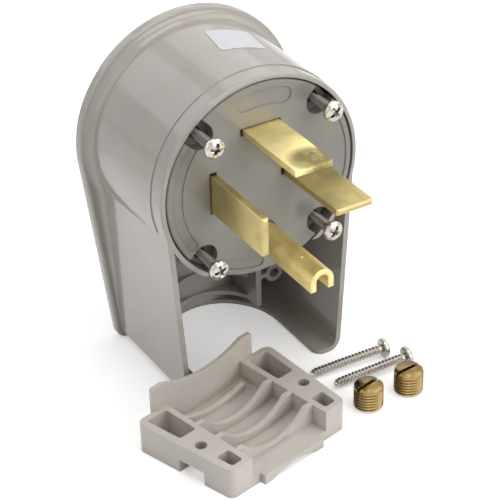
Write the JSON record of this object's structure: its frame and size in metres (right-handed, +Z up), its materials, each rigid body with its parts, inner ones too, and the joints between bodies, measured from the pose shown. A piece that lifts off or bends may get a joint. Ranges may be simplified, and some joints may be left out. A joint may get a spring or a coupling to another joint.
{
  "type": "angle electrical plug",
  "caption": "Grey right-angle power plug standing on its housing legs, with flat brass blades, an arched ground pin, and its cord clamp and screws lying taken off beside it.",
  "frame": {"origin": "centre of the contact face, level with the rim of the drum", "axes": "+X right and +Z up when looking at the blades, which point along -Y; the plug stands on the ends of its legs"},
  "size_m": [0.0963, 0.0943, 0.1135],
  "materials": {
    "housing_nylon": "smooth moulded nylon, soft gloss",
    "clamp_nylon": "satin moulded nylon",
    "carrier_nylon": "smooth moulded nylon",
    "blade_brass": "tumbled stamped brass",
    "terminal_brass": "milled brass",
    "screw_brass": "turned brass, warm tone",
    "nickel_steel": "bright nickel plating",
    "zinc_steel": "dull passivated steel",
    "label_paper": "blank semi-gloss sticker paper"
  },
  "bodies": {
    "root": {"blade_left": "blade_brass", "blade_right": "blade_brass", "blade_top": "blade_brass", "carrier_back": "carrier_nylon", "carrier_face": "carrier_nylon", "carrier_screw": "zinc_steel", "clamp_screws": "zinc_steel", "cord_clamp": "clamp_nylon", "face_screws": "nickel_steel", "fitted_pressure_screws": "screw_brass", "ground_pin": "blade_brass", "housing": "housing_nylon", "label": "label_paper", "loose_pressure_screws": "screw_brass", "terminal_ground": "terminal_brass", "terminal_left": "terminal_brass", "terminal_right": "terminal_brass", "terminal_top": "terminal_brass"}
  },
  "joints": []
}
